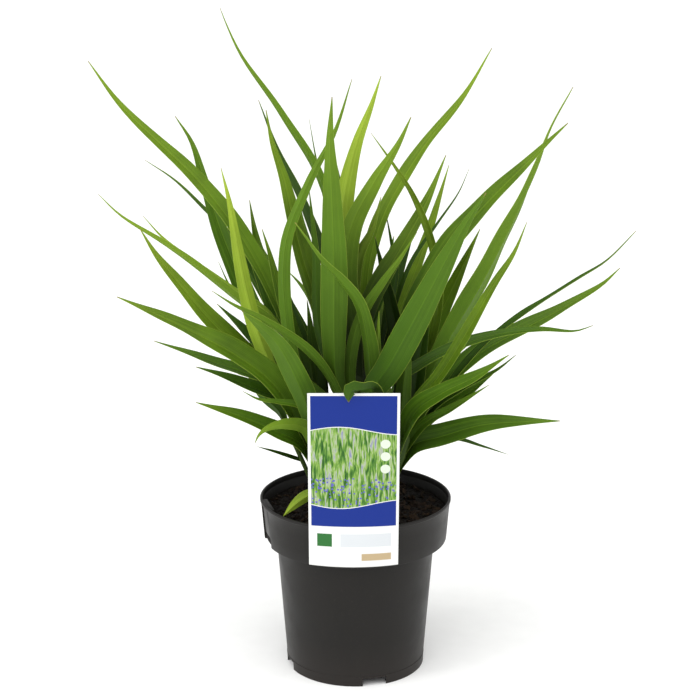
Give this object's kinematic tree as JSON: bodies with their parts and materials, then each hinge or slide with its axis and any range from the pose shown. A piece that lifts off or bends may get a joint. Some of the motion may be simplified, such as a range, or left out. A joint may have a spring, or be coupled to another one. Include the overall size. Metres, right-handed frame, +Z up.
{
  "type": "potted flax lily",
  "caption": "Evergreen clump of arching strap leaves in a round black nursery pot with a stepped collar, soil and an upright label card.",
  "frame": {"origin": "on the ground, on the pot's axis, which is also the middle of the bounding box in X and Y", "axes": "+Z up along the pot's axis, +Y to the back and +X to the right; the label card faces -Y"},
  "size_m": [0.5192, 0.3867, 0.6537],
  "materials": {
    "pot_plastic": "satin black moulded plastic",
    "potting_soil": "damp dark potting mix",
    "leaf": "smooth green leaf with a soft sheen",
    "label_card": "printed plastic card",
    "label_stake": "plain white plastic"
  },
  "bodies": {
    "root": {"pot": "pot_plastic", "soil": "potting_soil", "plant_label": "label_card", "label_stake": "label_stake", "shoot_01": "leaf", "shoot_02": "leaf", "shoot_03": "leaf", "shoot_04": "leaf", "shoot_05": "leaf", "shoot_06": "leaf", "shoot_07": "leaf", "shoot_08": "leaf", "shoot_09": "leaf", "sprout_01": "leaf", "sprout_02": "leaf"}
  },
  "joints": []
}
